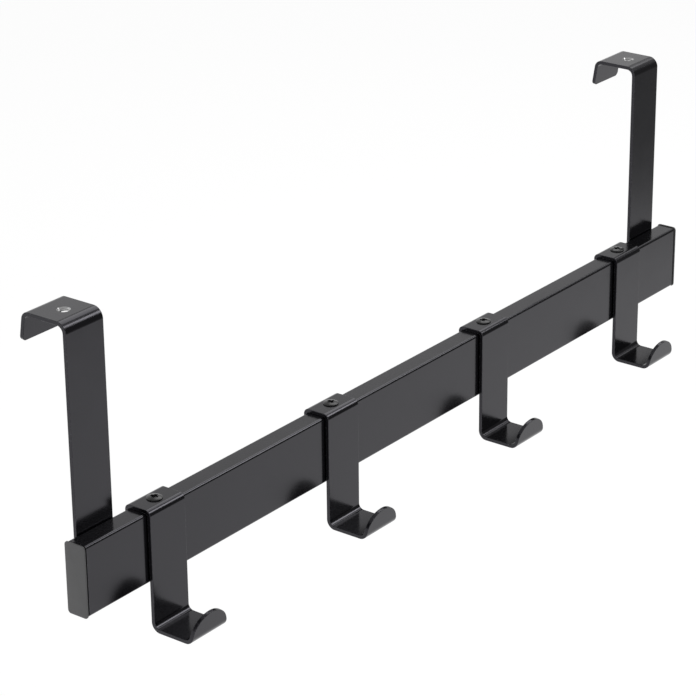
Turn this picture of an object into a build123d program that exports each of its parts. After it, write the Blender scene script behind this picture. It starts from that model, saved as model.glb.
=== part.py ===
from build123d import *
import os

# Over-door hook rail: a flat tube carried by two door brackets, with four saddle hooks screwed on top.
# Millimetres. +X runs along the rail, +Y from the room through the door, and +Z up.
# The origin is midway between the two tapped holes, in the plane that rests on the door's top edge.

# Rail
overall_length = 520.0
rail_height = 36.5
rail_depth = 11.5
rail_wall = 1.0
rail_corner_radius = 1.2

# End caps
cap_flange_thickness = 2.0
cap_overhang = 0.5
cap_rim_radius = 0.5
cap_plug_length = 12.0
cap_plug_wall = 1.2
cap_plug_clearance = 0.2
cap_rib_count = 3
cap_rib_width = 1.2
cap_rib_pitch = 3.0

# Flat strap that the brackets and the hooks are bent from
strap_width = 25.0
strap_thickness = 2.0
strap_edge_chamfer = 0.3

# Door brackets
bracket_end_gap = 8.0
bracket_drop = 103.5
bracket_overlap = 33.0
bracket_front_bend_radius = 3.5
bracket_rear_bend_radius = 2.5
bracket_corner_radius = 2.5
door_gap = 23.0
rear_lip_height = 15.5
rear_lip_flare = 9.0
tapped_hole_setback = 12.5
tapped_hole_radius = 3.0
tapped_hole_chamfer = 0.3
weld_leg = 1.6
weld_length = 20.0

# Saddle hooks
hook_count = 4
hook_bracket_gap = 10.5
saddle_bend_clearance = 0.1
saddle_front_gap = 0.4
saddle_lip_height = 12.0
hook_overhang = 25.5
hook_reach = 25.5
hook_tab_height = 14.0
hook_tab_lean = 8.0
hook_tab_arc_height = 11.0
hook_corner_radius = 2.0

# Screws, pan head with a cross recess
screw_shank_radius = 2.0
screw_length = 8.0
screw_head_radius = 4.0
screw_head_height = 1.2
screw_dome_height = 0.6
screw_recess_radius = 1.9
screw_recess_width = 0.9
screw_recess_depth = 1.0
screw_hole_clearance = 0.25
rail_hole_clearance = 0.05

# How far a cutter runs past what it cuts, and how near a length is to count as equal
cut_margin = 1.0
length_tolerance = 0.01

# Places that follow from the sizes
leg_front_y = -tapped_hole_setback
leg_back_y = leg_front_y + strap_thickness
lip_root_y = leg_back_y + door_gap
rail_back_y = leg_front_y
rail_front_y = rail_back_y - rail_depth
rail_mid_y = (rail_back_y + rail_front_y) / 2
rail_top_z = -bracket_drop
rail_mid_z = rail_top_z - rail_height / 2
rail_bottom_z = rail_top_z - rail_height
rail_length = overall_length - 2 * cap_flange_thickness
saddle_top_z = rail_top_z + strap_thickness
hook_bend_radius = rail_corner_radius - saddle_bend_clearance
hook_leg_back_y = rail_front_y - saddle_front_gap
bracket_x = overall_length / 2 - bracket_end_gap - strap_width / 2
outer_hook_x = bracket_x - strap_width - hook_bracket_gap
hook_xs = [outer_hook_x * (2 * i / (hook_count - 1) - 1) for i in range(hook_count)]


def across(shape, width):
    """Extrude a face in the YZ plane to both sides of X = 0."""
    return extrude(Plane.YZ * shape, amount=width / 2, both=True)


def bent_strap(points, inner_radii):
    """A strap whose centre line runs through points of Y and Z, with a bend at each corner between them."""
    centre_line = FilletPolyline(*points, radius=[radius + strap_thickness / 2 for radius in inner_radii])
    return across(trace(centre_line, line_width=strap_thickness), strap_width)


def end_corners(strap):
    """The short edges through a strap's thickness at its two ends, from front to back."""
    return strap.edges().filter_by(lambda edge: abs(edge.length - strap_thickness) < length_tolerance).sort_by(Axis.Y)


def break_edges(strap):
    """Take the sharpness off the four long edges of a strap, bends and round ends included."""
    sides = strap.faces().sort_by(Axis.X)
    return chamfer(sides[0].edges() + sides[-1].edges(), strap_edge_chamfer)


def drill(radius, thickness):
    """A round cutter through a wall whose upper face is at Z = 0."""
    return Pos(0, 0, -thickness / 2) * Cylinder(radius, thickness + 2 * cut_margin)


def make_rail():
    """The tube, open at both ends, with a screw hole in its top wall under each hook."""
    outside = RectangleRounded(rail_depth, rail_height, rail_corner_radius)
    bore = RectangleRounded(rail_depth - 2 * rail_wall, rail_height - 2 * rail_wall, rail_corner_radius - rail_wall)
    tube = across(Pos(rail_mid_y, rail_mid_z) * (outside - bore), rail_length)
    for x in hook_xs:
        tube -= Pos(x, rail_mid_y, rail_top_z) * drill(screw_shank_radius + rail_hole_clearance, rail_wall)
    return tube


def make_cap():
    """The right end cap: a flange over the tube's end, and a hollow plug with grip ribs."""
    outline = RectangleRounded(
        rail_depth + 2 * cap_overhang,
        rail_height + 2 * cap_overhang,
        rail_corner_radius + cap_overhang,
    )
    flange = extrude(outline, cap_flange_thickness)
    flange = fillet(flange.faces().sort_by(Axis.Z)[-1].edges(), cap_rim_radius)
    bore_depth = rail_depth - 2 * rail_wall
    bore_height = rail_height - 2 * rail_wall
    plug_depth = bore_depth - 2 * cap_plug_clearance
    plug_height = bore_height - 2 * cap_plug_clearance
    hollow = Rectangle(plug_depth - 2 * cap_plug_wall, plug_height - 2 * cap_plug_wall)
    plug = extrude(Rectangle(plug_depth, plug_height) - hollow, -cap_plug_length)
    rib = extrude(Rectangle(bore_depth, bore_height - 2 * cap_rib_width) - hollow, -cap_rib_width)
    for i in range(cap_rib_count):
        plug += Pos(0, 0, -(i + 1) * cap_rib_pitch) * rib
    tube_end = Plane((rail_length / 2, rail_mid_y, rail_mid_z), x_dir=(0, 1, 0), z_dir=(1, 0, 0))
    return tube_end * (flange + plug)


def make_bracket():
    """A strap that hooks over the door: a leg down to the rail, a flange on the door and a flared rear lip."""
    half = strap_thickness / 2
    leg_y = leg_front_y + half
    lip_y = lip_root_y + half
    lip_line = Vector(0, 0, half - rear_lip_height).rotate(Axis.X, rear_lip_flare)
    strap = bent_strap(
        [
            (leg_y, rail_top_z - bracket_overlap),
            (leg_y, half),
            (lip_y, half),
            (lip_y + lip_line.Y, half + lip_line.Z),
        ],
        [bracket_front_bend_radius, bracket_rear_bend_radius],
    )
    strap = break_edges(fillet(end_corners(strap), bracket_corner_radius))
    strap -= Pos(0, 0, strap_thickness) * (drill(tapped_hole_radius, strap_thickness) + make_hole_mouth())
    return strap + make_welds()


def make_hole_mouth():
    """The chamfer at the upper end of a tapped hole, for a strap whose upper face is at Z = 0."""
    return Cone(
        tapped_hole_radius,
        tapped_hole_radius + tapped_hole_chamfer,
        tapped_hole_chamfer,
        align=(Align.CENTER, Align.CENTER, Align.MAX),
    )


def make_welds():
    """Fillet welds down both edges of the leg, where it lies on the rail's back face."""
    root = Pos(strap_width / 2 - strap_edge_chamfer, rail_back_y, rail_mid_z - weld_length / 2)
    section = Polygon((0, 0), (weld_leg + strap_edge_chamfer, 0), (0, weld_leg), align=None)
    bead = root * extrude(section, weld_length)
    return bead + mirror(bead, Plane.YZ)


def make_hook():
    """A strap saddled over the rail, down its front face, and up again in a round-ended tab."""
    half = strap_thickness / 2
    lip_y = rail_back_y + half
    leg_y = hook_leg_back_y - half
    shelf_z = rail_bottom_z - hook_overhang + half
    toe_y = hook_leg_back_y - hook_reach + half
    tab_line = Vector(0, 0, hook_tab_height - half).rotate(Axis.X, hook_tab_lean)
    strap = bent_strap(
        [
            (lip_y, saddle_top_z - saddle_lip_height),
            (lip_y, saddle_top_z - half),
            (leg_y, saddle_top_z - half),
            (leg_y, shelf_z),
            (toe_y, shelf_z),
            (toe_y + tab_line.Y, shelf_z + tab_line.Z),
        ],
        [hook_bend_radius] * 4,
    )
    strap = fillet(end_corners(strap)[-2:], hook_corner_radius)
    strap = break_edges(strap - round_end_cutter(Vector(0, toe_y, shelf_z) + tab_line, tab_line.normalized()))
    return strap - Pos(0, rail_mid_y, saddle_top_z) * drill(screw_shank_radius + screw_hole_clearance, strap_thickness)


def round_end_cutter(tip, outward):
    """What lies outside half an ellipse as wide as the strap, for a strap end at tip."""
    block_height = hook_tab_arc_height + cut_margin
    block = Rectangle(strap_width + 2 * cut_margin, block_height, align=(Align.CENTER, Align.MIN))
    outline = Pos(0, -hook_tab_arc_height) * (block - Ellipse(strap_width / 2, hook_tab_arc_height))
    end_plane = Plane(tip, x_dir=(1, 0, 0), z_dir=Vector(1, 0, 0).cross(outward))
    return extrude(end_plane * outline, amount=strap_thickness + cut_margin, both=True)


def make_screw():
    """A pan-head screw whose head's underside is at Z = 0, with a cross recess in its crown."""
    rim = (screw_head_radius, screw_head_height - screw_dome_height)
    crown = (0, screw_head_height)
    foot = (0, -screw_length)
    outline = Polyline(foot, (screw_shank_radius, -screw_length), (screw_shank_radius, 0), (screw_head_radius, 0), rim)
    dome = RadiusArc(rim, crown, -dome_radius())
    body = revolve(Plane.XZ * make_face(outline + dome + Line(crown, foot)), Axis.Z)
    wing = Box(2 * screw_recess_radius, screw_recess_width, 2 * screw_recess_depth)
    recess = Pos(0, 0, screw_head_height) * (wing + Rot(0, 0, 90) * wing)
    return body - recess


def dome_radius():
    """Radius of the arc that rises by the dome's height over the head's radius."""
    return (screw_head_radius**2 + screw_dome_height**2) / (2 * screw_dome_height)


os.makedirs("parts", exist_ok=True)

export_step(make_rail(), "parts/rail_tube.step")

right_cap = make_cap()
export_step(right_cap, "parts/right_end_cap.step")
export_step(mirror(right_cap, Plane.YZ), "parts/left_end_cap.step")

bracket = make_bracket()
export_step(Pos(-bracket_x, 0, 0) * bracket, "parts/left_door_bracket.step")
export_step(Pos(bracket_x, 0, 0) * bracket, "parts/right_door_bracket.step")

hook = make_hook()
for number, x in enumerate(hook_xs, start=1):
    export_step(Pos(x, 0, 0) * hook, f"parts/coat_hook_{number}.step")

screw = Pos(0, rail_mid_y, saddle_top_z) * make_screw()
screws = Compound([Pos(x, 0, 0) * screw for x in hook_xs])
export_step(screws, "parts/hook_screws.step")
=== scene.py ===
import math

import bpy
from mathutils import Matrix, Vector


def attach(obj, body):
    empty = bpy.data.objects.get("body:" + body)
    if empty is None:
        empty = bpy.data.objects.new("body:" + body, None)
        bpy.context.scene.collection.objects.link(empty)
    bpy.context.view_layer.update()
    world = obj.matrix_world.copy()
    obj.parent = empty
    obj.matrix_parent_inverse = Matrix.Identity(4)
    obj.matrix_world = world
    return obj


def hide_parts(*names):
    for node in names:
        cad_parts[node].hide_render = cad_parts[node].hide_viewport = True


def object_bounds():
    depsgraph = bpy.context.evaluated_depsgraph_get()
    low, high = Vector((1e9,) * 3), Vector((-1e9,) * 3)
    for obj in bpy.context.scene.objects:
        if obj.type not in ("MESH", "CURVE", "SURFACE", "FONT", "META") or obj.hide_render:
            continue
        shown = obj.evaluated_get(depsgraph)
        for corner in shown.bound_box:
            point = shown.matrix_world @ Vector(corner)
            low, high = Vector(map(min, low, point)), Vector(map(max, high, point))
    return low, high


# Black over-door hook rail: satin powder coat on steel, moulded end caps and low cross-head screws.
# Metres, in the frame of the solids: +X along the rail, +Y through the door, +Z up.

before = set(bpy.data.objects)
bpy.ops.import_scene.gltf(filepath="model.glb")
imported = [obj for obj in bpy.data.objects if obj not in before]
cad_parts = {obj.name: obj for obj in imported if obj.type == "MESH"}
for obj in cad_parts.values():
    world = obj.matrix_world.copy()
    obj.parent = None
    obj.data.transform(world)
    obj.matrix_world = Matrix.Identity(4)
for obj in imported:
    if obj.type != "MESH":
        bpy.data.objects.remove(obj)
cad_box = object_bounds()

MM = 0.001

# Places that the solids have too, in millimetres
BRACKET_XS = [-239.5, 239.5]
HOOK_XS = [-204.0, -68.0, 68.0, 204.0]
FLANGE_TOP_Z = 2.0
RAIL_BACK_Y = -12.5
RAIL_MID_Y = -18.25
RAIL_MID_Z = -121.75
SADDLE_TOP_Z = -101.5


# Camera, at the photo's viewing angle

IMAGE_SIZE = 696
FOCAL_LENGTH_IN_PIXELS = 2706.0
SENSOR_WIDTH = 36.0
CAMERA_PLACE = Vector((-1.0588, -0.7966, 0.4607))
CAMERA_AZIMUTH = math.radians(-52.26)
CAMERA_ELEVATION = math.radians(22.88)
CAMERA_ROLL = math.radians(-0.62)
CAMERA_REACH = 20.0


def camera_rotation():
    """The camera's axes in the object's frame, from its azimuth, elevation and roll."""
    right = Vector((math.cos(CAMERA_AZIMUTH), math.sin(CAMERA_AZIMUTH), 0))
    back = Vector((
        math.sin(CAMERA_AZIMUTH) * math.cos(CAMERA_ELEVATION),
        -math.cos(CAMERA_AZIMUTH) * math.cos(CAMERA_ELEVATION),
        math.sin(CAMERA_ELEVATION),
    ))
    up = back.cross(right)
    rolled_right = right * math.cos(CAMERA_ROLL) + up * math.sin(CAMERA_ROLL)
    rolled_up = up * math.cos(CAMERA_ROLL) - right * math.sin(CAMERA_ROLL)
    return Matrix((rolled_right, rolled_up, back)).transposed()


def make_camera():
    data = bpy.data.cameras.new("photo_camera")
    data.sensor_width = SENSOR_WIDTH
    data.lens = SENSOR_WIDTH * FOCAL_LENGTH_IN_PIXELS / IMAGE_SIZE
    data.clip_end = CAMERA_REACH
    camera = bpy.data.objects.new("photo_camera", data)
    camera.matrix_world = Matrix.Translation(CAMERA_PLACE) @ camera_rotation().to_4x4()
    bpy.context.scene.collection.objects.link(camera)
    bpy.context.scene.camera = camera


# Node helpers

BEVEL_SAMPLES = 8

# A Mix node's colour sockets, which share their names with its sockets for numbers and vectors
MIX_FIRST_COLOUR = 6
MIX_SECOND_COLOUR = 7
MIX_COLOUR = 2


def new_material(name):
    """A material with an empty Principled shader, and its node tree."""
    material = bpy.data.materials.new(name)
    material.use_nodes = True
    tree = material.node_tree
    return material, tree, tree.nodes["Principled BSDF"]


def node(tree, kind, **values):
    """A new node with its input sockets set by name."""
    made = tree.nodes.new(kind)
    for name, value in values.items():
        made.inputs[name.replace("_", " ")].default_value = value
    return made


def feed(tree, value, socket):
    """Link a value that is a socket to the given socket, or else set it there."""
    if isinstance(value, bpy.types.NodeSocket):
        tree.links.new(value, socket)
    else:
        socket.default_value = value


def noise(tree, place, feature_size, detail=2.0):
    """A noise whose features are about feature_size metres across."""
    made = node(tree, "ShaderNodeTexNoise", Scale=1 / feature_size, Detail=detail)
    tree.links.new(place, made.inputs["Vector"])
    return made.outputs["Fac"]


def map_range(tree, value, low, high, start=0.3, stop=0.7, smooth=False):
    """Map start..stop, by default a noise's middle range, to low..high."""
    made = node(tree, "ShaderNodeMapRange", From_Min=start, From_Max=stop, To_Min=low, To_Max=high)
    made.interpolation_type = "SMOOTHSTEP" if smooth else "LINEAR"
    tree.links.new(value, made.inputs["Value"])
    return made.outputs["Result"]


def math_node(tree, operation, first, second):
    """A Math node between two sockets, or between a socket and a number."""
    made = tree.nodes.new("ShaderNodeMath")
    made.operation = operation
    feed(tree, first, made.inputs[0])
    feed(tree, second, made.inputs[1])
    return made.outputs["Value"]


def mix_colour(tree, share, first, second):
    """Mix two colours, each given as a value or as a socket."""
    made = tree.nodes.new("ShaderNodeMix")
    made.data_type = "RGBA"
    tree.links.new(share, made.inputs["Factor"])
    feed(tree, first, made.inputs[MIX_FIRST_COLOUR])
    feed(tree, second, made.inputs[MIX_SECOND_COLOUR])
    return made.outputs[MIX_COLOUR]


def dot(tree, first, second):
    """Dot product of two vectors, the second a socket or a value."""
    made = tree.nodes.new("ShaderNodeVectorMath")
    made.operation = "DOT_PRODUCT"
    tree.links.new(first, made.inputs[0])
    feed(tree, second, made.inputs[1])
    return made.outputs["Value"]


def bump(tree, height, distance, normal=None):
    """A bump whose full height is distance metres."""
    made = node(tree, "ShaderNodeBump", Distance=distance, Strength=1.0)
    tree.links.new(height, made.inputs["Height"])
    if normal is not None:
        tree.links.new(normal, made.inputs["Normal"])
    return made.outputs["Normal"]


def rounded_normal(tree, radius):
    """A normal that turns smoothly over an edge, as if it had that radius."""
    made = tree.nodes.new("ShaderNodeBevel")
    made.samples = BEVEL_SAMPLES
    made.inputs["Radius"].default_value = radius
    return made.outputs["Normal"]


def edge_mask(tree, rounded):
    """About 1 on edges and 0 on flats: how far the rounded normal leans from the true one."""
    geometry = tree.nodes.new("ShaderNodeNewGeometry")
    return map_range(tree, dot(tree, rounded, geometry.outputs["Normal"]), 0.0, 1.0, start=1.0, stop=0.93)


def object_place(tree):
    """Position on the object, in metres."""
    return tree.nodes.new("ShaderNodeTexCoord").outputs["Object"]


# Materials

def powder_coat():
    """Black powder coat: faint orange peel, fine grain, and specks of wear along the edges."""
    material, tree, shader = new_material("black_powder_coat")
    place = object_place(tree)
    edge = edge_mask(tree, rounded_normal(tree, 0.7 * MM))

    cloud = map_range(tree, noise(tree, place, 40 * MM), 0.0, 1.0)
    flat_colour = mix_colour(tree, cloud, (0.0010, 0.0010, 0.0014, 1), (0.0018, 0.0018, 0.0024, 1))
    # The colour is a little paler along every edge.
    paler_edge_colour = mix_colour(tree, edge, flat_colour, (0.0060, 0.0060, 0.0070, 1))
    specks = map_range(tree, noise(tree, place, 0.5 * MM, 3.0), 0.0, 1.0, start=0.56, stop=0.62)
    pale_edge_share = math_node(tree, "MULTIPLY", edge, specks)
    tree.links.new(mix_colour(tree, pale_edge_share, paler_edge_colour, (0.16, 0.16, 0.17, 1)), shader.inputs["Base Color"])
    shader.inputs["Specular Tint"].default_value = (0.91, 0.89, 1.0, 1)

    patches = map_range(tree, noise(tree, place, 12 * MM, 3.0), 0.155, 0.19)
    tree.links.new(patches, shader.inputs["Roughness"])

    peel = bump(tree, noise(tree, place, 1.6 * MM), 0.0025 * MM)
    grain = bump(tree, noise(tree, place, 0.25 * MM), 0.0006 * MM, peel)
    tree.links.new(grain, shader.inputs["Normal"])
    return material


def cap_plastic():
    """Black moulded plastic with a fine spark texture, and a paler rim painted along its edges as a highlight.
    """
    material, tree, shader = new_material("black_cap_plastic")
    place = object_place(tree)
    rounded = rounded_normal(tree, 0.3 * MM)
    cloud = map_range(tree, noise(tree, place, 15 * MM), 0.0, 1.0)
    flat_colour = mix_colour(tree, cloud, (0.075, 0.075, 0.077, 1), (0.085, 0.085, 0.087, 1))
    # Painted highlight: the edges get a paler colour (0.22) that stands in for the light caught by the rim.
    colour = mix_colour(tree, edge_mask(tree, rounded), flat_colour, (0.22, 0.22, 0.225, 1))
    tree.links.new(colour, shader.inputs["Base Color"])
    tree.links.new(map_range(tree, noise(tree, place, 4 * MM), 0.36, 0.44), shader.inputs["Roughness"])
    spark = bump(tree, noise(tree, place, 0.3 * MM, 4.0), 0.004 * MM, rounded)
    tree.links.new(spark, shader.inputs["Normal"])
    return material


def screw_finish():
    """Black finish on steel, paler where edges stand out: partly rubbed wear, partly a painted highlight for
    the rim ring.
    """
    material, tree, shader = new_material("black_screw_steel")
    place = object_place(tree)
    rounded = rounded_normal(tree, 0.12 * MM)
    cloud = map_range(tree, noise(tree, place, 2 * MM), 0.0, 1.0)
    flat_colour = mix_colour(tree, cloud, (0.0015, 0.0015, 0.0018, 1), (0.0030, 0.0030, 0.0034, 1))
    # Partly painted highlight: the paler edge colour is partly wear and partly stands in for the light ring on
    # the rim and round the recess.
    pale_edge_share = edge_mask(tree, rounded_normal(tree, 0.25 * MM))
    colour = mix_colour(tree, pale_edge_share, flat_colour, (0.09, 0.09, 0.095, 1))
    tree.links.new(colour, shader.inputs["Base Color"])
    tree.links.new(map_range(tree, noise(tree, place, 0.8 * MM), 0.16, 0.24), shader.inputs["Roughness"])
    tree.links.new(bump(tree, noise(tree, place, 0.2 * MM), 0.001 * MM, rounded), shader.inputs["Normal"])
    return material


def cut_steel():
    """Bare steel, as a tap leaves it: bright, with a fine grain."""
    material, tree, shader = new_material("cut_thread_steel")
    place = object_place(tree)
    cloud = map_range(tree, noise(tree, place, 0.8 * MM), 0.0, 1.0)
    colour = mix_colour(tree, cloud, (0.44, 0.44, 0.44, 1), (0.60, 0.60, 0.60, 1))
    tree.links.new(colour, shader.inputs["Base Color"])
    shader.inputs["Metallic"].default_value = 1.0
    tree.links.new(map_range(tree, noise(tree, place, 0.4 * MM), 0.07, 0.14), shader.inputs["Roughness"])
    tree.links.new(bump(tree, noise(tree, place, 0.15 * MM), 0.002 * MM), shader.inputs["Normal"])
    return material


# Light: a white backdrop with a greyer room above it, dimmer towards one side

BACKDROP = 0.92
ROOM = 0.60
DIM = 0.26
BACKDROP_TILT = Vector((0.361, -0.479, 1.0))
BACKDROP_EDGE = (0.345, 0.390)
DIM_SIDE = Vector((0.6, -0.8, 0.0))
SIDE_EDGE = (0.60, 0.92)


def make_world():
    world = bpy.data.worlds.new("white_studio")
    bpy.context.scene.world = world
    world.use_nodes = True
    tree = world.node_tree
    direction = tree.nodes.new("ShaderNodeTexCoord").outputs["Generated"]
    above = dot(tree, direction, BACKDROP_TILT)
    side = dot(tree, direction, DIM_SIDE)
    wall = map_range(tree, above, BACKDROP, ROOM, start=BACKDROP_EDGE[0], stop=BACKDROP_EDGE[1], smooth=True)
    open_side = map_range(tree, side, 1.0, DIM, start=SIDE_EDGE[0], stop=SIDE_EDGE[1], smooth=True)
    background = tree.nodes["Background"]
    background.inputs["Color"].default_value = (1, 1, 1, 1)
    tree.links.new(math_node(tree, "MULTIPLY", wall, open_side), background.inputs["Strength"])


def soft_box(name, azimuth, elevation, distance, size, radiance):
    """A rectangular lamp that faces the object from that direction, as bright as that much white."""
    a, e = math.radians(azimuth), math.radians(elevation)
    towards = Vector((math.cos(a) * math.cos(e), math.sin(a) * math.cos(e), math.sin(e)))
    data = bpy.data.lights.new(name, "AREA")
    data.shape = "RECTANGLE"
    data.size, data.size_y = size
    data.energy = radiance * math.pi * size[0] * size[1]
    lamp = bpy.data.objects.new(name, data)
    place = Vector((0, 0, RAIL_MID_Z * MM)) + towards * distance
    lamp.matrix_world = Matrix.Translation(place) @ (-towards).to_track_quat("-Z", "Y").to_matrix().to_4x4()
    bpy.context.scene.collection.objects.link(lamp)


def make_lights():
    soft_box("overhead_box", azimuth=17.0, elevation=50.0, distance=1.6, size=(1.0, 0.95), radiance=1.5)
    soft_box("side_box", azimuth=-37.0, elevation=37.0, distance=1.6, size=(0.52, 0.48), radiance=5.2)


# Floor: white paper that ends where the light grows dim

FLOOR_DROP = 0.30
FLOOR_SIZE = 12.0
PAPER_EDGE = 1.12
PAPER_EDGE_FADE = 0.14
PAPER_GLOW = 0.78
PAPER_SHADE = 0.28


def floor_paper():
    """Paper that shows plain white, keeps the object's shadow, and fades out towards the dim side."""
    material, tree, shader = new_material("pale_floor")
    tree.nodes.remove(shader)
    output = tree.nodes["Material Output"]
    paper = node(tree, "ShaderNodeBsdfDiffuse", Color=(0.9, 0.9, 0.9, 1))
    lit = node(tree, "ShaderNodeBsdfDiffuse", Color=(PAPER_SHADE, PAPER_SHADE, PAPER_SHADE, 1))
    glow = node(tree, "ShaderNodeEmission", Strength=PAPER_GLOW)
    shown = tree.nodes.new("ShaderNodeAddShader")
    tree.links.new(lit.outputs["BSDF"], shown.inputs[0])
    tree.links.new(glow.outputs["Emission"], shown.inputs[1])
    mixed = tree.nodes.new("ShaderNodeMixShader")
    tree.links.new(seen_ray(tree), mixed.inputs["Fac"])
    tree.links.new(paper.outputs["BSDF"], mixed.inputs[1])
    tree.links.new(shown.outputs["Shader"], mixed.inputs[2])

    clear = tree.nodes.new("ShaderNodeBsdfTransparent")
    beyond = map_range(
        tree,
        dot(tree, object_place(tree), DIM_SIDE),
        0.0,
        1.0,
        start=PAPER_EDGE - PAPER_EDGE_FADE,
        stop=PAPER_EDGE + PAPER_EDGE_FADE,
        smooth=True,
    )
    faded = tree.nodes.new("ShaderNodeMixShader")
    tree.links.new(beyond, faded.inputs["Fac"])
    tree.links.new(mixed.outputs["Shader"], faded.inputs[1])
    tree.links.new(clear.outputs["BSDF"], faded.inputs[2])
    tree.links.new(faded.outputs["Shader"], output.inputs["Surface"])
    return material


def seen_ray(tree):
    """1 for rays that see the floor: the camera's, and those in gloss and glass."""
    paths = tree.nodes.new("ShaderNodeLightPath")
    seen = math_node(tree, "MAXIMUM", paths.outputs["Is Camera Ray"], paths.outputs["Is Glossy Ray"])
    return math_node(tree, "MAXIMUM", seen, paths.outputs["Is Transmission Ray"])


def make_floor():
    """A plain floor well below the hanging object."""
    half = FLOOR_SIZE / 2
    level = cad_box[0][2] - FLOOR_DROP
    mesh = bpy.data.meshes.new("floor")
    corners = [(-half, -half, level), (half, -half, level), (half, half, level), (-half, half, level)]
    mesh.from_pydata(corners, [], [(0, 1, 2, 3)])
    floor = bpy.data.objects.new("floor", mesh)
    floor.data.materials.append(floor_paper())
    bpy.context.scene.collection.objects.link(floor)


# Meshes made of rings

def skin(rings):
    """Vertices and faces of a skin over closed rings that have equally many points."""
    count = len(rings[0])
    points = [point for ring in rings for point in ring]
    faces = []
    for i in range(len(rings) - 1):
        for j in range(count):
            k = (j + 1) % count
            faces.append((i * count + j, i * count + k, (i + 1) * count + k, (i + 1) * count + j))
    return points, faces


def add_piece(name, material, mesh):
    """A piece of the object with that mesh, which rides on the part."""
    mesh.materials.append(material)
    piece = bpy.data.objects.new(name, mesh)
    bpy.context.scene.collection.objects.link(piece)
    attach(piece, "root")
    return piece


def ring_mesh(name, points, faces, sharp_angle=35):
    """A mesh from points in millimetres, smooth but for edges sharper than that many degrees."""
    mesh = bpy.data.meshes.new(name)
    mesh.from_pydata([Vector(point) * MM for point in points], [], faces)
    mesh.validate()
    mesh.shade_smooth()
    mesh.set_sharp_from_angle(angle=math.radians(sharp_angle))
    return mesh


def polar(radius, angle, z):
    return (radius * math.cos(angle), radius * math.sin(angle), z)


def shifted(points, x):
    """The same points, moved along X."""
    return [Vector(point) + Vector((x, 0, 0)) for point in points]


# Surfaces whose corners carry their true normals, for the straps and the rail

def normal_of(points):
    """A vector along the normal of a flat or nearly flat polygon."""
    total = Vector((0, 0, 0))
    for i, point in enumerate(points):
        total += (point - points[0]).cross(points[(i + 1) % len(points)] - points[0])
    return total


class Surface:
    """Points in millimetres, and faces with a normal at each corner."""

    def __init__(self):
        self.points = []
        self.faces = []
        self.normals = []

    def add_point(self, place):
        self.points.append(Vector(place))
        return len(self.points) - 1

    def add_face(self, corners, normals):
        """Add a face, turned to the side that its normals point to."""
        facing = normal_of([self.points[i] for i in corners])
        if facing.dot(sum(normals, Vector((0, 0, 0)))) < 0:
            corners, normals = corners[::-1], normals[::-1]
        self.faces.append(list(corners))
        self.normals += normals

    def add_strip(self, first, second, first_normals, second_normals, closed=False):
        """Quads between two rows of points."""
        count = len(first)
        for i in range(count if closed else count - 1):
            k = (i + 1) % count
            self.add_face(
                [first[i], first[k], second[k], second[i]],
                [first_normals[i], first_normals[k], second_normals[k], second_normals[i]],
            )

    def add_holed_panel(self, rows, circle, normal):
        """Two flat faces that fill three rows, each a pair of points, round a circle of points.

        The circle starts on the side of the rows' second points, and runs past the first row to the
        other side.
        """
        (a0, a1), (m0, m1), (b0, b1) = rows
        half = len(circle) // 2
        near = circle[: half + 1]
        far = circle[half:] + circle[:1]
        for outline in ([m0, a0, a1, m1] + near, [m1, b1, b0, m0] + far):
            self.add_face(outline, [normal] * len(outline))

    def mesh(self, name, x=0.0):
        """The surface as a mesh, moved along X."""
        mesh = bpy.data.meshes.new(name)
        mesh.from_pydata([point * MM for point in shifted(self.points, x)], [], self.faces)
        mesh.shade_smooth()
        mesh.normals_split_custom_set(self.normals)
        return mesh


# Bent straps

STRAP_HALF_WIDTH = 12.5
STRAP_HALF_THICKNESS = 1.0
STRAP_EDGE_RADIUS = 0.25
BEND_STEP = math.radians(6)
ARC_STEPS = 6
TAB_STEPS = 24
HOLE_STEPS = 48
HOLE_MARGIN = 2.0
LEAST_STEP = 0.01

# Below these, a length or a slope counts as none, and a direction as level
TOLERANCE = 1e-9
LEVEL = 1e-6


def turned(vector, angle):
    """A vector in the YZ plane, turned by that angle."""
    return Matrix.Rotation(angle, 2) @ vector


class CentreLine:
    """The line through the middle of a bent strap, in 2-D vectors of y and z."""

    def __init__(self, corners, inner_radii):
        points = [Vector(corner) for corner in corners]
        self.stations = [(0.0, points[0], (points[1] - points[0]).normalized())]
        for corner, following, inner_radius in zip(points[1:], points[2:], inner_radii):
            self.add_bend(corner, (following - corner).normalized(), inner_radius + STRAP_HALF_THICKNESS)
        self.add_straight(points[-1])
        self.length = self.stations[-1][0]

    def add_straight(self, place):
        travelled, here, direction = self.stations[-1]
        self.stations.append((travelled + (place - here).length, place, direction))

    def add_bend(self, corner, next_direction, radius):
        direction = self.stations[-1][2]
        turn = math.atan2(direction.cross(next_direction), direction.dot(next_direction))
        self.add_straight(corner - direction * radius * math.tan(abs(turn) / 2))
        travelled, start, _ = self.stations[-1]
        to_start = turned(direction, -math.copysign(math.pi / 2, turn)) * radius
        steps = math.ceil(abs(turn) / BEND_STEP)
        for i in range(1, steps + 1):
            angle = turn * i / steps
            place = start - to_start + turned(to_start, angle)
            self.stations.append((travelled + radius * abs(angle), place, turned(direction, angle)))

    def at(self, distance):
        """The place and direction at a distance along the line."""
        for (low, start, direction), (high, stop, next_direction) in zip(self.stations, self.stations[1:]):
            if distance <= high or high == self.length:
                share = (distance - low) / (high - low)
                return start.lerp(stop, share), direction.lerp(next_direction, share).normalized()

    def level_distance(self, y):
        """How far along the line its level top run passes that y."""
        for distance, place, direction in self.stations:
            if abs(direction.y) < LEVEL:
                return distance + abs(y - place.x)

    def place(self, distance, x, height):
        """A point by its distance along the line, across it, and above its middle."""
        middle, direction = self.at(distance)
        y, z = middle + Vector((-direction.y, direction.x)) * height
        return Vector((x, y, z))

    def normal(self, distance, along, across, out):
        """A direction by its parts along the line, across it, and out of the strap's outer face."""
        _, direction = self.at(distance)
        y, z = direction * along + Vector((-direction.y, direction.x)) * out
        return Vector((across, y, z))


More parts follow.
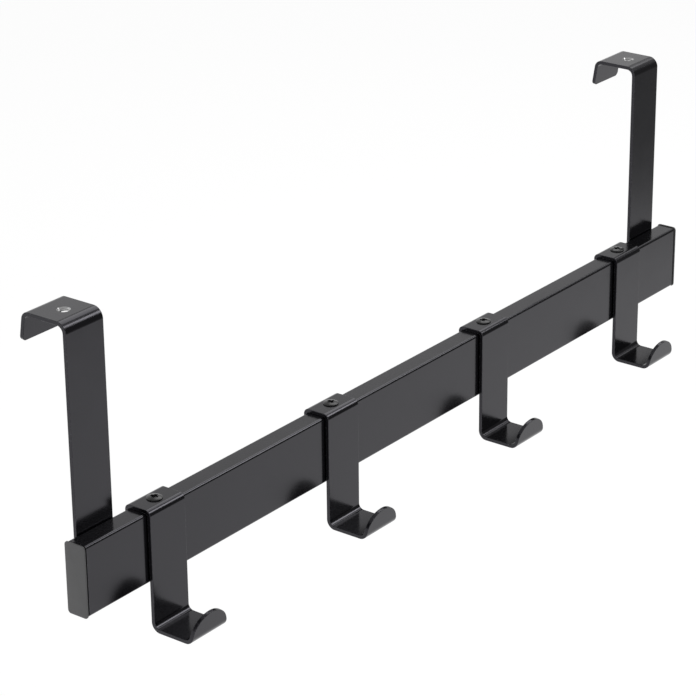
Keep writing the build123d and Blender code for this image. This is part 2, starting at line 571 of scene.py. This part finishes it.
def square_end(radius):
    """A strap end's outline with rounded corners, from its straight part to its side.

    Each row holds the distance from the end, the half width, and the normal's parts towards the end and
    sideways.
    """
    rows = []
    for i in range(ARC_STEPS + 1):
        a = math.pi / 2 * i / ARC_STEPS
        rows.append((
            radius * (1 - math.cos(a)),
            STRAP_HALF_WIDTH - radius * (1 - math.sin(a)),
            math.cos(a),
            math.sin(a),
        ))
    return rows


def round_end(height):
    """The same for an end that is half an ellipse."""
    rows = []
    for i in range(TAB_STEPS + 1):
        a = math.pi / 2 * i / TAB_STEPS
        normal = Vector((math.cos(a) / height, math.sin(a) / STRAP_HALF_WIDTH)).normalized()
        rows.append((height * (1 - math.cos(a)), STRAP_HALF_WIDTH * math.sin(a), normal.x, normal.y))
    return rows


def edge_profile():
    """A strap's side from its outer face to its inner: inset, height, and the normal out and sideways."""
    rows = []
    for sign in (1, -1):
        arc = []
        for i in range(ARC_STEPS + 1):
            a = math.pi / 2 * i / ARC_STEPS
            arc.append((
                STRAP_EDGE_RADIUS * (1 - math.sin(a)),
                sign * (STRAP_HALF_THICKNESS - STRAP_EDGE_RADIUS * (1 - math.cos(a))),
                sign * math.cos(a),
                math.sin(a),
            ))
        rows += arc[::sign]
    return rows


def strap_outline(line, start_end, stop_end, hole_distance, hole_reach):
    """Half of a strap's outline, from end to end: distance, half width, and the normal along and across."""
    start_depth, stop_depth = start_end[-1][0], stop_end[-1][0]
    distances = {station[0] for station in line.stations}
    distances |= {hole_distance - hole_reach, hole_distance, hole_distance + hole_reach}
    first, last = start_depth + LEAST_STEP, line.length - stop_depth - LEAST_STEP
    outline = [(depth, half, -along, across) for depth, half, along, across in start_end]
    outline += [(d, STRAP_HALF_WIDTH, 0.0, 1.0) for d in sorted(distances) if first < d < last]
    outline += [(line.length - depth, *others) for depth, *others in reversed(stop_end)]
    return outline


def add_sides(surface, line, outline):
    """The strap's two narrow sides with its rounded edges.

    For side 1 and side -1 it gives a row of points and a row of normals at each place of the outline,
    from the outer face to the inner.
    """
    sides = {1: [], -1: []}
    normals = {1: [], -1: []}
    for distance, half, along, across in outline:
        for side in (1, -1):
            row, row_normals = [], []
            for inset, height, out, sideways in edge_profile():
                at = distance - along * inset
                x = max(0.0, half - across * inset)
                # At the tip of a round end the two sides share their points
                if side < 0 and half < TOLERANCE:
                    row.append(sides[1][-1][len(row)])
                else:
                    row.append(surface.add_point(line.place(at, side * x, height)))
                row_normals.append(line.normal(at, along * sideways, side * across * sideways, out))
            sides[side].append(row)
            normals[side].append(row_normals)
    for side in (1, -1):
        for i in range(len(outline) - 1):
            surface.add_strip(sides[side][i], sides[side][i + 1], normals[side][i], normals[side][i + 1])
    surface.add_strip(sides[-1][0], sides[1][0], normals[-1][0], normals[1][0])
    if outline[-1][1] > TOLERANCE:
        surface.add_strip(sides[-1][-1], sides[1][-1], normals[-1][-1], normals[1][-1])
    return sides, normals


def add_broad_face(surface, sides, normals, j, hole_row, rim):
    """A broad face between the points j of the sides' rows, with a hole whose rim is a circle of points."""
    rows = [(sides[-1][i][j], sides[1][i][j]) for i in range(len(sides[1]))]
    for i in range(len(rows) - 1):
        if i == hole_row - 1:
            surface.add_holed_panel(rows[i : i + 3], rim, normals[1][i][j])
        elif i != hole_row:
            corners = [rows[i][0], rows[i][1], rows[i + 1][1], rows[i + 1][0]]
            corner_normals = [normals[1][i][j]] * 2 + [normals[1][i + 1][j]] * 2
            if corners[2] == corners[3]:
                corners, corner_normals = corners[:3], corner_normals[:3]
            surface.add_face(corners, corner_normals)


def strap_surface(line, start_end, stop_end, hole_distance, hole_radius, hole_mouth):
    """A bent strap with rounded edges, its two ends' outlines, and a round hole across its outer face."""
    outline = strap_outline(line, start_end, stop_end, hole_distance, hole_radius + hole_mouth + HOLE_MARGIN)
    hole_row = min(range(len(outline)), key=lambda i: abs(outline[i][0] - hole_distance))
    surface = Surface()
    sides, normals = add_sides(surface, line, outline)
    outer_rim, inner_rim = add_hole(surface, line, hole_distance, hole_radius, hole_mouth)
    add_broad_face(surface, sides, normals, 0, hole_row, outer_rim)
    add_broad_face(surface, sides, normals, -1, hole_row, inner_rim)
    return surface


def add_hole(surface, line, distance, radius, mouth):
    """The hole's wall, with a chamfered mouth in the outer face. It gives the circle of points in each face."""
    angles = [math.tau * i / HOLE_STEPS for i in range(HOLE_STEPS)]
    levels = [
        (radius + mouth, STRAP_HALF_THICKNESS),
        (radius, STRAP_HALF_THICKNESS - mouth),
        (radius, -STRAP_HALF_THICKNESS),
    ]
    rings = [
        [surface.add_point(line.place(distance - r * math.sin(a), r * math.cos(a), height)) for a in angles]
        for r, height in levels
    ]
    walls = [line.normal(distance, math.sin(a), -math.cos(a), 0.0) for a in angles]
    tilt = math.sqrt(0.5)
    mouths = [line.normal(distance, math.sin(a) * tilt, -math.cos(a) * tilt, tilt) for a in angles]
    surface.add_strip(rings[0], rings[1], mouths, mouths, closed=True)
    surface.add_strip(rings[1], rings[2], walls, walls, closed=True)
    return rings[0], rings[2]


# Door brackets

LEG_MID_Y = -11.5
LIP_MID_Y = 13.5
LEG_FOOT_Z = -136.5
FLANGE_MID_Z = 1.0
LIP_LENGTH = 14.4
LIP_FLARE = math.radians(9)
BRACKET_BEND_RADII = [3.5, 2.5]
BRACKET_CORNER_RADIUS = 2.5
FLANGE_HOLE_RADIUS = 3.0
FLANGE_HOLE_MOUTH = 0.3


def make_brackets(material):
    lip = Vector((math.sin(LIP_FLARE), -math.cos(LIP_FLARE))) * LIP_LENGTH
    corners = [
        Vector((LEG_MID_Y, LEG_FOOT_Z)),
        Vector((LEG_MID_Y, FLANGE_MID_Z)),
        Vector((LIP_MID_Y, FLANGE_MID_Z)),
        Vector((LIP_MID_Y, FLANGE_MID_Z)) + lip,
    ]
    line = CentreLine(corners, BRACKET_BEND_RADII)
    hole_distance = line.level_distance(0.0)
    end = square_end(BRACKET_CORNER_RADIUS)
    strap = strap_surface(line, end, end, hole_distance, FLANGE_HOLE_RADIUS, FLANGE_HOLE_MOUTH)
    for side, x in zip(("left", "right"), BRACKET_XS):
        name = f"{side}_bracket_strap"
        bracket = add_piece(name, material, strap.mesh(name, x))
        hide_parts(f"{side}_door_bracket")


# Hooks

BACK_LIP_MID_Y = -11.5
BACK_LIP_END_Z = -113.5
SADDLE_MID_Z = -102.5
HOOK_LEG_MID_Y = -25.4
SHELF_MID_Z = -164.5
TOE_MID_Y = -48.9
TAB_LENGTH = 12.9
TAB_LEAN = math.radians(8)
TAB_ARC_HEIGHT = 11.0
SADDLE_BEND_RADIUS = 1.1
FOOT_BEND_RADIUS = 3.0
SADDLE_CORNER_RADIUS = 0.5
SADDLE_HOLE_RADIUS = 2.25
SADDLE_HOLE_MOUTH = 0.1


def make_hooks(material):
    tab = Vector((-math.sin(TAB_LEAN), math.cos(TAB_LEAN))) * TAB_LENGTH
    corners = [
        Vector((BACK_LIP_MID_Y, BACK_LIP_END_Z)),
        Vector((BACK_LIP_MID_Y, SADDLE_MID_Z)),
        Vector((HOOK_LEG_MID_Y, SADDLE_MID_Z)),
        Vector((HOOK_LEG_MID_Y, SHELF_MID_Z)),
        Vector((TOE_MID_Y, SHELF_MID_Z)),
        Vector((TOE_MID_Y, SHELF_MID_Z)) + tab,
    ]
    line = CentreLine(corners, [SADDLE_BEND_RADIUS] * 2 + [FOOT_BEND_RADIUS] * 2)
    hole_distance = line.level_distance(RAIL_MID_Y)
    ends = (square_end(SADDLE_CORNER_RADIUS), round_end(TAB_ARC_HEIGHT))
    strap = strap_surface(line, *ends, hole_distance, SADDLE_HOLE_RADIUS, SADDLE_HOLE_MOUTH)
    for number, x in enumerate(HOOK_XS, start=1):
        name = f"hook_{number}_strap"
        hook = add_piece(name, material, strap.mesh(name, x))
        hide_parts(f"coat_hook_{number}")


# Rail

RAIL_HALF_LENGTH = 258.0
RAIL_HALF_DEPTH = 5.75
RAIL_HALF_HEIGHT = 18.25
RAIL_WALL = 1.0
RAIL_CORNER_RADIUS = 1.4
RAIL_HOLE_RADIUS = 2.05


def rounded_outline(half_depth, half_height, radius):
    """Y, z and normal round a rounded rectangle on the rail's axis, from one end of its top to the other."""
    rows = []
    for y_side, z_side, start in ((1, 1, 90), (1, -1, 0), (-1, -1, -90), (-1, 1, -180)):
        for i in range(ARC_STEPS + 1):
            a = math.radians(start - 90 * i / ARC_STEPS)
            y = RAIL_MID_Y + y_side * (half_depth - radius) + radius * math.cos(a)
            z = RAIL_MID_Z + z_side * (half_height - radius) + radius * math.sin(a)
            rows.append((y, z, Vector((0, math.cos(a), math.sin(a)))))
    return rows


def make_rail(material):
    """The tube, with its bore and a screw hole under each hook."""
    surface = Surface()
    reach = RAIL_HOLE_RADIUS + HOLE_MARGIN
    stations = [-RAIL_HALF_LENGTH]
    for x in HOOK_XS:
        stations += [x - reach, x, x + reach]
    stations.append(RAIL_HALF_LENGTH)
    angles = [math.tau * i / HOLE_STEPS for i in range(HOLE_STEPS)]

    skins, circles = [], []
    for inset, facing in ((0.0, 1), (RAIL_WALL, -1)):
        half_depth, half_height = RAIL_HALF_DEPTH - inset, RAIL_HALF_HEIGHT - inset
        outline = rounded_outline(half_depth, half_height, RAIL_CORNER_RADIUS - inset)
        normals = [normal * facing for _, _, normal in outline]
        rings = [[surface.add_point((x, y, z)) for y, z, _ in outline] for x in stations]
        skins.append(rings)
        top = outline[0][1]
        circles.append([
            [
                surface.add_point((
                    x - RAIL_HOLE_RADIUS * math.sin(a),
                    RAIL_MID_Y + RAIL_HOLE_RADIUS * math.cos(a),
                    top,
                ))
                for a in angles
            ]
            for x in HOOK_XS
        ])
        for i in range(len(stations) - 1):
            surface.add_strip(rings[i], rings[i + 1], normals, normals)
            if stations[i] not in HOOK_XS and stations[i + 1] not in HOOK_XS:
                corners = [rings[i][-1], rings[i][0], rings[i + 1][0], rings[i + 1][-1]]
                surface.add_face(corners, [normals[0]] * 4)
        for x, circle in zip(HOOK_XS, circles[-1]):
            i = stations.index(x)
            rows = [(rings[k][-1], rings[k][0]) for k in (i - 1, i, i + 1)]
            surface.add_holed_panel(rows, circle, normals[0])

    walls = [Vector((math.sin(a), -math.cos(a), 0)) for a in angles]
    for upper, lower in zip(*circles):
        surface.add_strip(upper, lower, walls, walls, closed=True)
    for end, facing in ((0, -1), (-1, 1)):
        normals = [Vector((facing, 0, 0))] * len(skins[0][0])
        surface.add_strip(skins[0][end], skins[1][end], normals, normals, closed=True)
    rail = add_piece("rail", material, surface.mesh("rail"))
    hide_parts("rail_tube")


# End caps

CAP_OVERHANG = 0.5
CAP_FACE_X = 260.0
CAP_RIM_X = 259.3
CAP_RIM_RADIUS = 0.35
CAP_RIM_BREAK = 0.05
CAP_NECK_INSET = 1.65
CAP_RIB_INSET = 1.52
CAP_RIB_XS = [255.0, 252.0, 249.0]
CAP_RIB_CREST = 0.3
CAP_RIB_FOOT = 0.6
CAP_PLUG_X = 246.0
CAP_PLUG_WALL = 1.2
CAP_LEAST_RADIUS = 0.4


def cap_profile():
    """The right cap's rings, from its face over the rim and the neck to the plug's hollow: x and inset."""
    rows = []
    for i in range(ARC_STEPS + 1):
        a = math.pi / 2 * i / ARC_STEPS
        rows.append((CAP_FACE_X - CAP_RIM_RADIUS * (1 - math.cos(a)), CAP_RIM_RADIUS * (1 - math.sin(a))))
    back = CAP_RIM_X - CAP_RIM_BREAK
    rows += [(CAP_RIM_X, 0.0), (back, CAP_RIM_BREAK), (back, CAP_NECK_INSET)]
    for x in CAP_RIB_XS:
        rows += [(x + CAP_RIB_FOOT, CAP_NECK_INSET), (x + CAP_RIB_CREST, CAP_RIB_INSET)]
        rows += [(x - CAP_RIB_CREST, CAP_RIB_INSET), (x - CAP_RIB_FOOT, CAP_NECK_INSET)]
    hollow = CAP_NECK_INSET + CAP_PLUG_WALL
    rows += [(CAP_PLUG_X, CAP_NECK_INSET), (CAP_PLUG_X, hollow), (RAIL_HALF_LENGTH, hollow)]
    return rows


def make_caps(material):
    """The caps, each with a groove between its flange and the tube, and a hollow plug with grip ribs."""
    for side, facing in (("left", -1), ("right", 1)):
        rings = []
        for x, inset in cap_profile():
            outline = rounded_outline(
                RAIL_HALF_DEPTH + CAP_OVERHANG - inset,
                RAIL_HALF_HEIGHT + CAP_OVERHANG - inset,
                max(RAIL_CORNER_RADIUS + CAP_OVERHANG - inset, CAP_LEAST_RADIUS),
            )
            rings.append([(facing * x, y, z) for y, z, _ in outline][::-facing])
        points, faces = skin(rings)
        count = len(rings[0])
        faces.append(tuple(range(count))[::-1])
        faces.append(tuple(range(len(points) - count, len(points))))
        mesh = ring_mesh(f"{side}_cap", points, faces)
        cap = add_piece(f"{side}_cap", material, mesh)
        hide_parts(f"{side}_end_cap")


# Screws: a low domed head with a tapered cross recess, and a threaded shank

HEAD_RADIUS = 4.0
HEAD_RIM_HEIGHT = 0.6
HEAD_HEIGHT = 1.2
HEAD_EDGE_RADIUS = 0.2
HEAD_EDGE_ANGLES = [0, 30, 60, 90]
HEAD_FOOT_BREAK = 0.08
HEAD_RIM_LIFT = 0.01
NECK_FLARE = 0.05
NECK_FLARE_HEIGHT = 0.3
CROSS_REACH = 2.05
CROSS_HALF_WIDTH = 0.85
SHANK_LENGTH = 8.0
SHANK_RADIUS = 2.0
SHANK_TIP_RADIUS = 1.45
SHANK_NECK_RADIUS = 1.9
SHANK_NECK_LENGTH = 0.5
SHANK_TIP_LENGTH = 0.25
SHANK_PITCH = 0.7
SHANK_THREAD_DEPTH = 0.36
SHANK_STEPS = 100
THREAD_RUN_IN_STEPS = 8
THREAD_RUN_OUT_STEPS = 6
CREST_FLATNESS = 1.15
TIP_HOLE_RADIUS = 0.02
SCREW_TURNS = [12.0, -18.0, 31.0, 5.0]

# Angles between the cross's corner and its diagonal, in degrees
CROSS_SIDE_ANGLES = [26.0, 30.0, 34.0, 39.0]
# Radii of the rings over the head's crown, and then shares of the way from the next radius to the cross
CROWN_RADII = [3.6, 3.3, 3.0, 2.7, 2.4]
CROWN_INNER_RADIUS = 2.2
CROWN_SHARES = [0.35, 0.7, 0.94]
CROSS_LIP = 1.05
# The recess's wall and floor: scale of the cross, and depth below the crown
CROSS_RINGS = [(1.0, 0.10), (0.98, 0.2), (0.95, 0.8), (0.90, 1.4), (0.55, 1.7), (0.02, 1.9)]


def octant_angles():
    """Angles round the head that meet the corners of the cross, in radians."""
    corner = math.degrees(math.atan2(CROSS_HALF_WIDTH, CROSS_REACH))
    eighth = [0.0, corner / 2, corner] + CROSS_SIDE_ANGLES
    quarter = eighth + [45.0] + [90.0 - angle for angle in reversed(eighth[1:])]
    return [math.radians(turn + angle) for turn in (0, 90, 180, 270) for angle in quarter]


def cross_radius(angle):
    """Distance from the middle to the cross's outline."""
    folded = angle % (math.pi / 2)
    folded = min(folded, math.pi / 2 - folded)
    if math.tan(folded) <= CROSS_HALF_WIDTH / CROSS_REACH + TOLERANCE:
        return CROSS_REACH / math.cos(folded)
    return CROSS_HALF_WIDTH / math.sin(folded)


def dome_height(radius):
    """Height of the head's crown at that distance from its middle."""
    rise = HEAD_HEIGHT - HEAD_RIM_HEIGHT
    arc = (HEAD_RADIUS**2 + rise**2) / (2 * rise)
    return HEAD_HEIGHT - arc + math.sqrt(arc**2 - radius**2)


def thread_wave(turns, length, pitch):
    """A V thread's height at a length along it and an angle in turns: 0 at the root, 1 at the flat crest."""
    phase = (length / pitch - turns) % 1.0
    return min(1.0, CREST_FLATNESS * (1 - abs(2 * phase - 1)))


def shank_rings(angles):
    """The threaded shank, from its tip up to the neck under the head."""
    tip_radii = (TIP_HOLE_RADIUS, SHANK_TIP_RADIUS)
    rings = [[polar(radius, a, -SHANK_LENGTH) for a in angles] for radius in tip_radii]
    root = SHANK_RADIUS - SHANK_THREAD_DEPTH
    start = -SHANK_LENGTH + SHANK_TIP_LENGTH
    length = SHANK_LENGTH - SHANK_TIP_LENGTH - SHANK_NECK_LENGTH
    for i in range(SHANK_STEPS + 1):
        z = start + length * i / SHANK_STEPS
        run_out = min(1.0, (i + 1) / THREAD_RUN_IN_STEPS, (SHANK_STEPS - i + 1) / THREAD_RUN_OUT_STEPS)
        height = SHANK_THREAD_DEPTH * run_out
        rings.append([polar(root + height * thread_wave(a / math.tau, z, SHANK_PITCH), a, z) for a in angles])
    return rings


def head_rings(angles):
    """The head, from the neck under it over the rim and the crown to the floor of the cross."""
    profile = [
        (SHANK_NECK_RADIUS, -NECK_FLARE_HEIGHT),
        (SHANK_NECK_RADIUS + NECK_FLARE, 0.0),
        (HEAD_RADIUS - HEAD_FOOT_BREAK, 0.0),
        (HEAD_RADIUS, HEAD_FOOT_BREAK),
    ]
    for angle in HEAD_EDGE_ANGLES:
        t = math.radians(angle)
        profile.append((
            HEAD_RADIUS - HEAD_EDGE_RADIUS * (1 - math.cos(t)),
            HEAD_RIM_HEIGHT + HEAD_RIM_LIFT - HEAD_EDGE_RADIUS * (1 - math.sin(t)),
        ))
    profile += [(radius, dome_height(radius)) for radius in CROWN_RADII]
    rings = [[polar(radius, a, z) for a in angles] for radius, z in profile]
    for share in CROWN_SHARES:
        radii = [(1 - share) * CROWN_INNER_RADIUS + share * cross_radius(a) * CROSS_LIP for a in angles]
        rings.append([polar(r, a, dome_height(r)) for r, a in zip(radii, angles)])
    for scale, depth in CROSS_RINGS:
        rings.append([polar(cross_radius(a) * scale, a, HEAD_HEIGHT - depth) for a in angles])
    return rings


def make_screws(material):
    angles = octant_angles()
    points, faces = [], []
    for x, turn in zip(HOOK_XS, SCREW_TURNS):
        spin = Matrix.Rotation(math.radians(turn), 3, "Z")
        place = Vector((x, RAIL_MID_Y, SADDLE_TOP_Z))
        screw_points, screw_faces = skin(shank_rings(angles) + head_rings(angles))
        faces += [tuple(i + len(points) for i in face) for face in screw_faces]
        points += [spin @ Vector(point) + place for point in screw_points]
    mesh = ring_mesh("cross_head_screws", points, faces)
    screws = add_piece("cross_head_screws", material, mesh)
    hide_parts("hook_screws")


# Threads in the flange holes

BORE_RADIUS = FLANGE_HOLE_RADIUS
BORE_THREAD_DEPTH = 0.52
BORE_PITCH = 1.0
BORE_MOUTH_Z = FLANGE_TOP_Z - FLANGE_HOLE_MOUTH
BORE_FOOT_Z = 0.02
BORE_FOOT_RADIUS = 2.75
BORE_SKIN = 0.015
BORE_RIM_DROP = 0.002
BORE_ANGLES = 72
BORE_STEPS = 34


def thread_ring(angles, z):
    """One level of the thread, which runs out towards both faces of the flange."""
    ring = []
    for a in angles:
        crest = BORE_RADIUS - BORE_THREAD_DEPTH * thread_wave(a / math.tau, z, BORE_PITCH)
        crest = max(crest, BORE_RADIUS - BORE_MOUTH_Z + z, BORE_FOOT_RADIUS - z)
        ring.append(polar(min(BORE_RADIUS, crest), a, z))
    return ring


def make_threads(material):
    """An M6 thread cut in each flange hole, with a bare countersunk mouth."""
    angles = [math.tau * i / BORE_ANGLES for i in range(BORE_ANGLES)]
    rim = BORE_RADIUS + FLANGE_TOP_Z - BORE_MOUTH_Z
    rings = [[polar(BORE_RADIUS + BORE_SKIN, a, BORE_FOOT_Z) for a in angles]]
    for i in range(BORE_STEPS + 1):
        rings.append(thread_ring(angles, BORE_FOOT_Z + (BORE_MOUTH_Z - BORE_FOOT_Z) * i / BORE_STEPS))
    rings.append([polar(rim - BORE_SKIN, a, FLANGE_TOP_Z - BORE_RIM_DROP) for a in angles])
    rings.append([polar(rim + BORE_SKIN, a, FLANGE_TOP_Z - 2 * BORE_SKIN) for a in angles])
    rings.append([polar(BORE_RADIUS + 2 * BORE_SKIN, a, BORE_MOUTH_Z - 2 * BORE_SKIN) for a in angles])
    rings.append(rings[0])
    points, faces = skin(rings)
    for side, x in zip(("left", "right"), BRACKET_XS):
        name = f"{side}_bore_thread"
        mesh = ring_mesh(name, shifted(points, x), faces, sharp_angle=50)
        add_piece(name, material, mesh)


# Weld beads behind the rail

BEAD_LENGTH = 20.0
BEAD_REACH = 1.674
BEAD_RIPPLE_PITCH = 0.9
BEAD_RIPPLE_HEIGHT = 0.10
BEAD_RIPPLE_LAG = 0.6
BEAD_EDGE_X = 12.2
BEAD_ROOT_X = 11.8
BEAD_END_POWER = 10
BEAD_ROWS = 90
BEAD_COLUMNS = 10


def bead_ring(z, swell, sign):
    """One section of a bead, at the leg's edge on that side, with its ripple."""
    ring = [(sign * BEAD_ROOT_X, RAIL_BACK_Y, z)]
    for j in range(BEAD_COLUMNS + 1):
        t = math.pi / 2 * j / BEAD_COLUMNS
        lag = BEAD_RIPPLE_LAG * math.sin(2 * t)
        ripple = BEAD_RIPPLE_HEIGHT * abs(math.sin(math.pi * (z + lag) / BEAD_RIPPLE_PITCH))
        reach = (BEAD_REACH + ripple) * swell
        ring.append((sign * (BEAD_EDGE_X + reach * math.cos(t)), RAIL_BACK_Y + reach * math.sin(t), z))
    return ring[::sign]


def make_weld_beads(material):
    """A rippled fillet bead down both edges of each leg, drawn in at its ends."""
    points, faces = [], []
    for sign in (-1, 1):
        rings = []
        for i in range(BEAD_ROWS + 1):
            along = i / BEAD_ROWS
            swell = math.sqrt(max(0.0, 1 - (2 * along - 1) ** BEAD_END_POWER))
            rings.append(bead_ring(RAIL_MID_Z + BEAD_LENGTH * (along - 0.5), swell, sign))
        bead_points, bead_faces = skin(rings)
        faces += [tuple(i + len(points) for i in face) for face in bead_faces]
        points += bead_points
    for side, x in zip(("left", "right"), BRACKET_XS):
        name = f"{side}_weld_beads"
        mesh = ring_mesh(name, shifted(points, x), faces, sharp_angle=60)
        add_piece(name, material, mesh)


scene = bpy.context.scene
scene.view_settings.view_transform = "Standard"

make_camera()
make_world()
make_lights()
make_floor()

coat = powder_coat()
make_rail(coat)
make_brackets(coat)
make_hooks(coat)
make_caps(cap_plastic())
make_screws(screw_finish())
make_threads(cut_steel())
make_weld_beads(coat)
